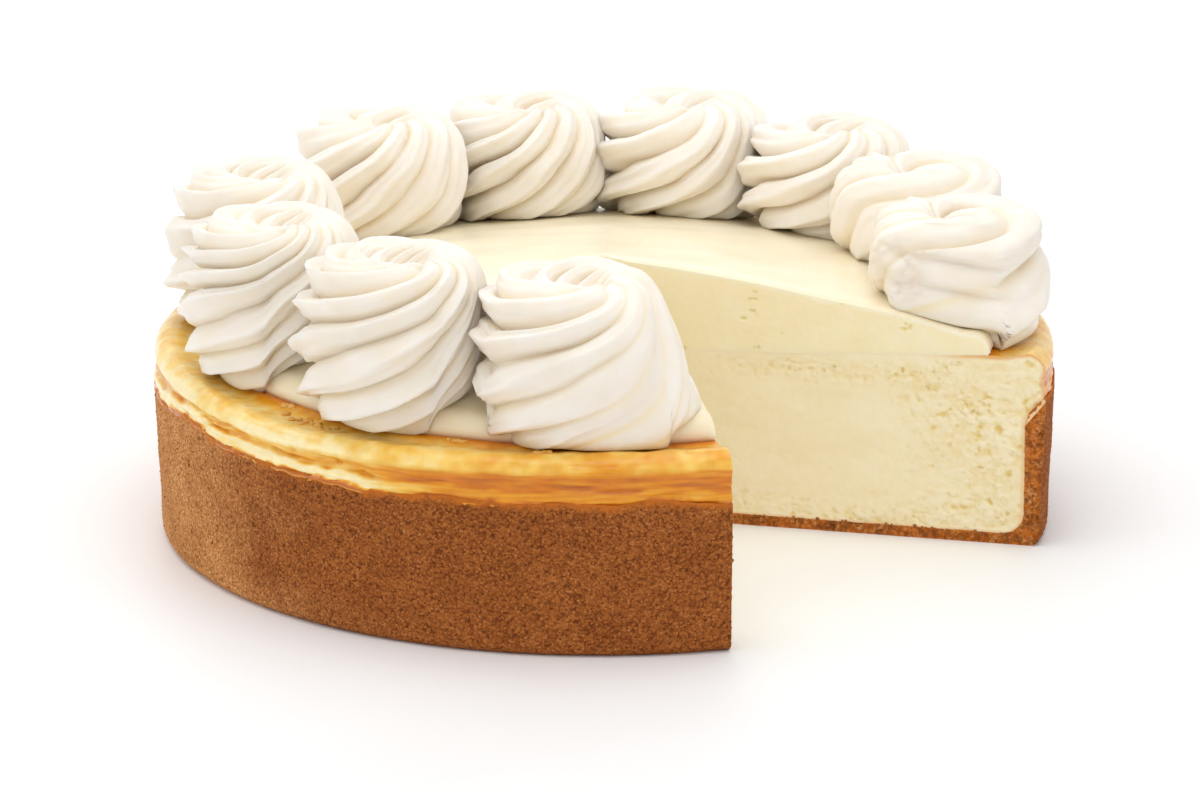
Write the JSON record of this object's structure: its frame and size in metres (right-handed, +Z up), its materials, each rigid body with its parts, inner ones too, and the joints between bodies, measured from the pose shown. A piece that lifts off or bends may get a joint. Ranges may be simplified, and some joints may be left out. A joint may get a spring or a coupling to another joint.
{
  "type": "banana cream cheesecake",
  "caption": "Round cheesecake with a crumb crust, a domed banana cream top and a ring of piped cream rosettes, with a wedge cut out that shows the layers.",
  "frame": {"origin": "centre of the flat underside", "axes": "+Z up through the middle of the cake; -Y is the front, the missing wedge is towards +X and -Y"},
  "size_m": [0.258, 0.258, 0.102],
  "materials": {
    "crumb_crust": "baked biscuit crumb, dry and grainy, golden brown",
    "cheesecake": "baked cheesecake, pale cream yellow at the cut, golden and slightly glossy at the rim",
    "banana_cream": "smooth pale yellow set cream, slightly glossy",
    "whipped_cream": "piped whipped cream, off-white, soft satin"
  },
  "bodies": {
    "root": {"crumb_crust": "crumb_crust", "cheesecake": "cheesecake", "banana_cream": "banana_cream", "rosette_01": "whipped_cream", "rosette_02": "whipped_cream", "rosette_03": "whipped_cream", "rosette_04": "whipped_cream", "rosette_05": "whipped_cream", "rosette_06": "whipped_cream", "rosette_07": "whipped_cream", "rosette_08": "whipped_cream", "rosette_09": "whipped_cream", "rosette_10": "whipped_cream"}
  },
  "joints": []
}
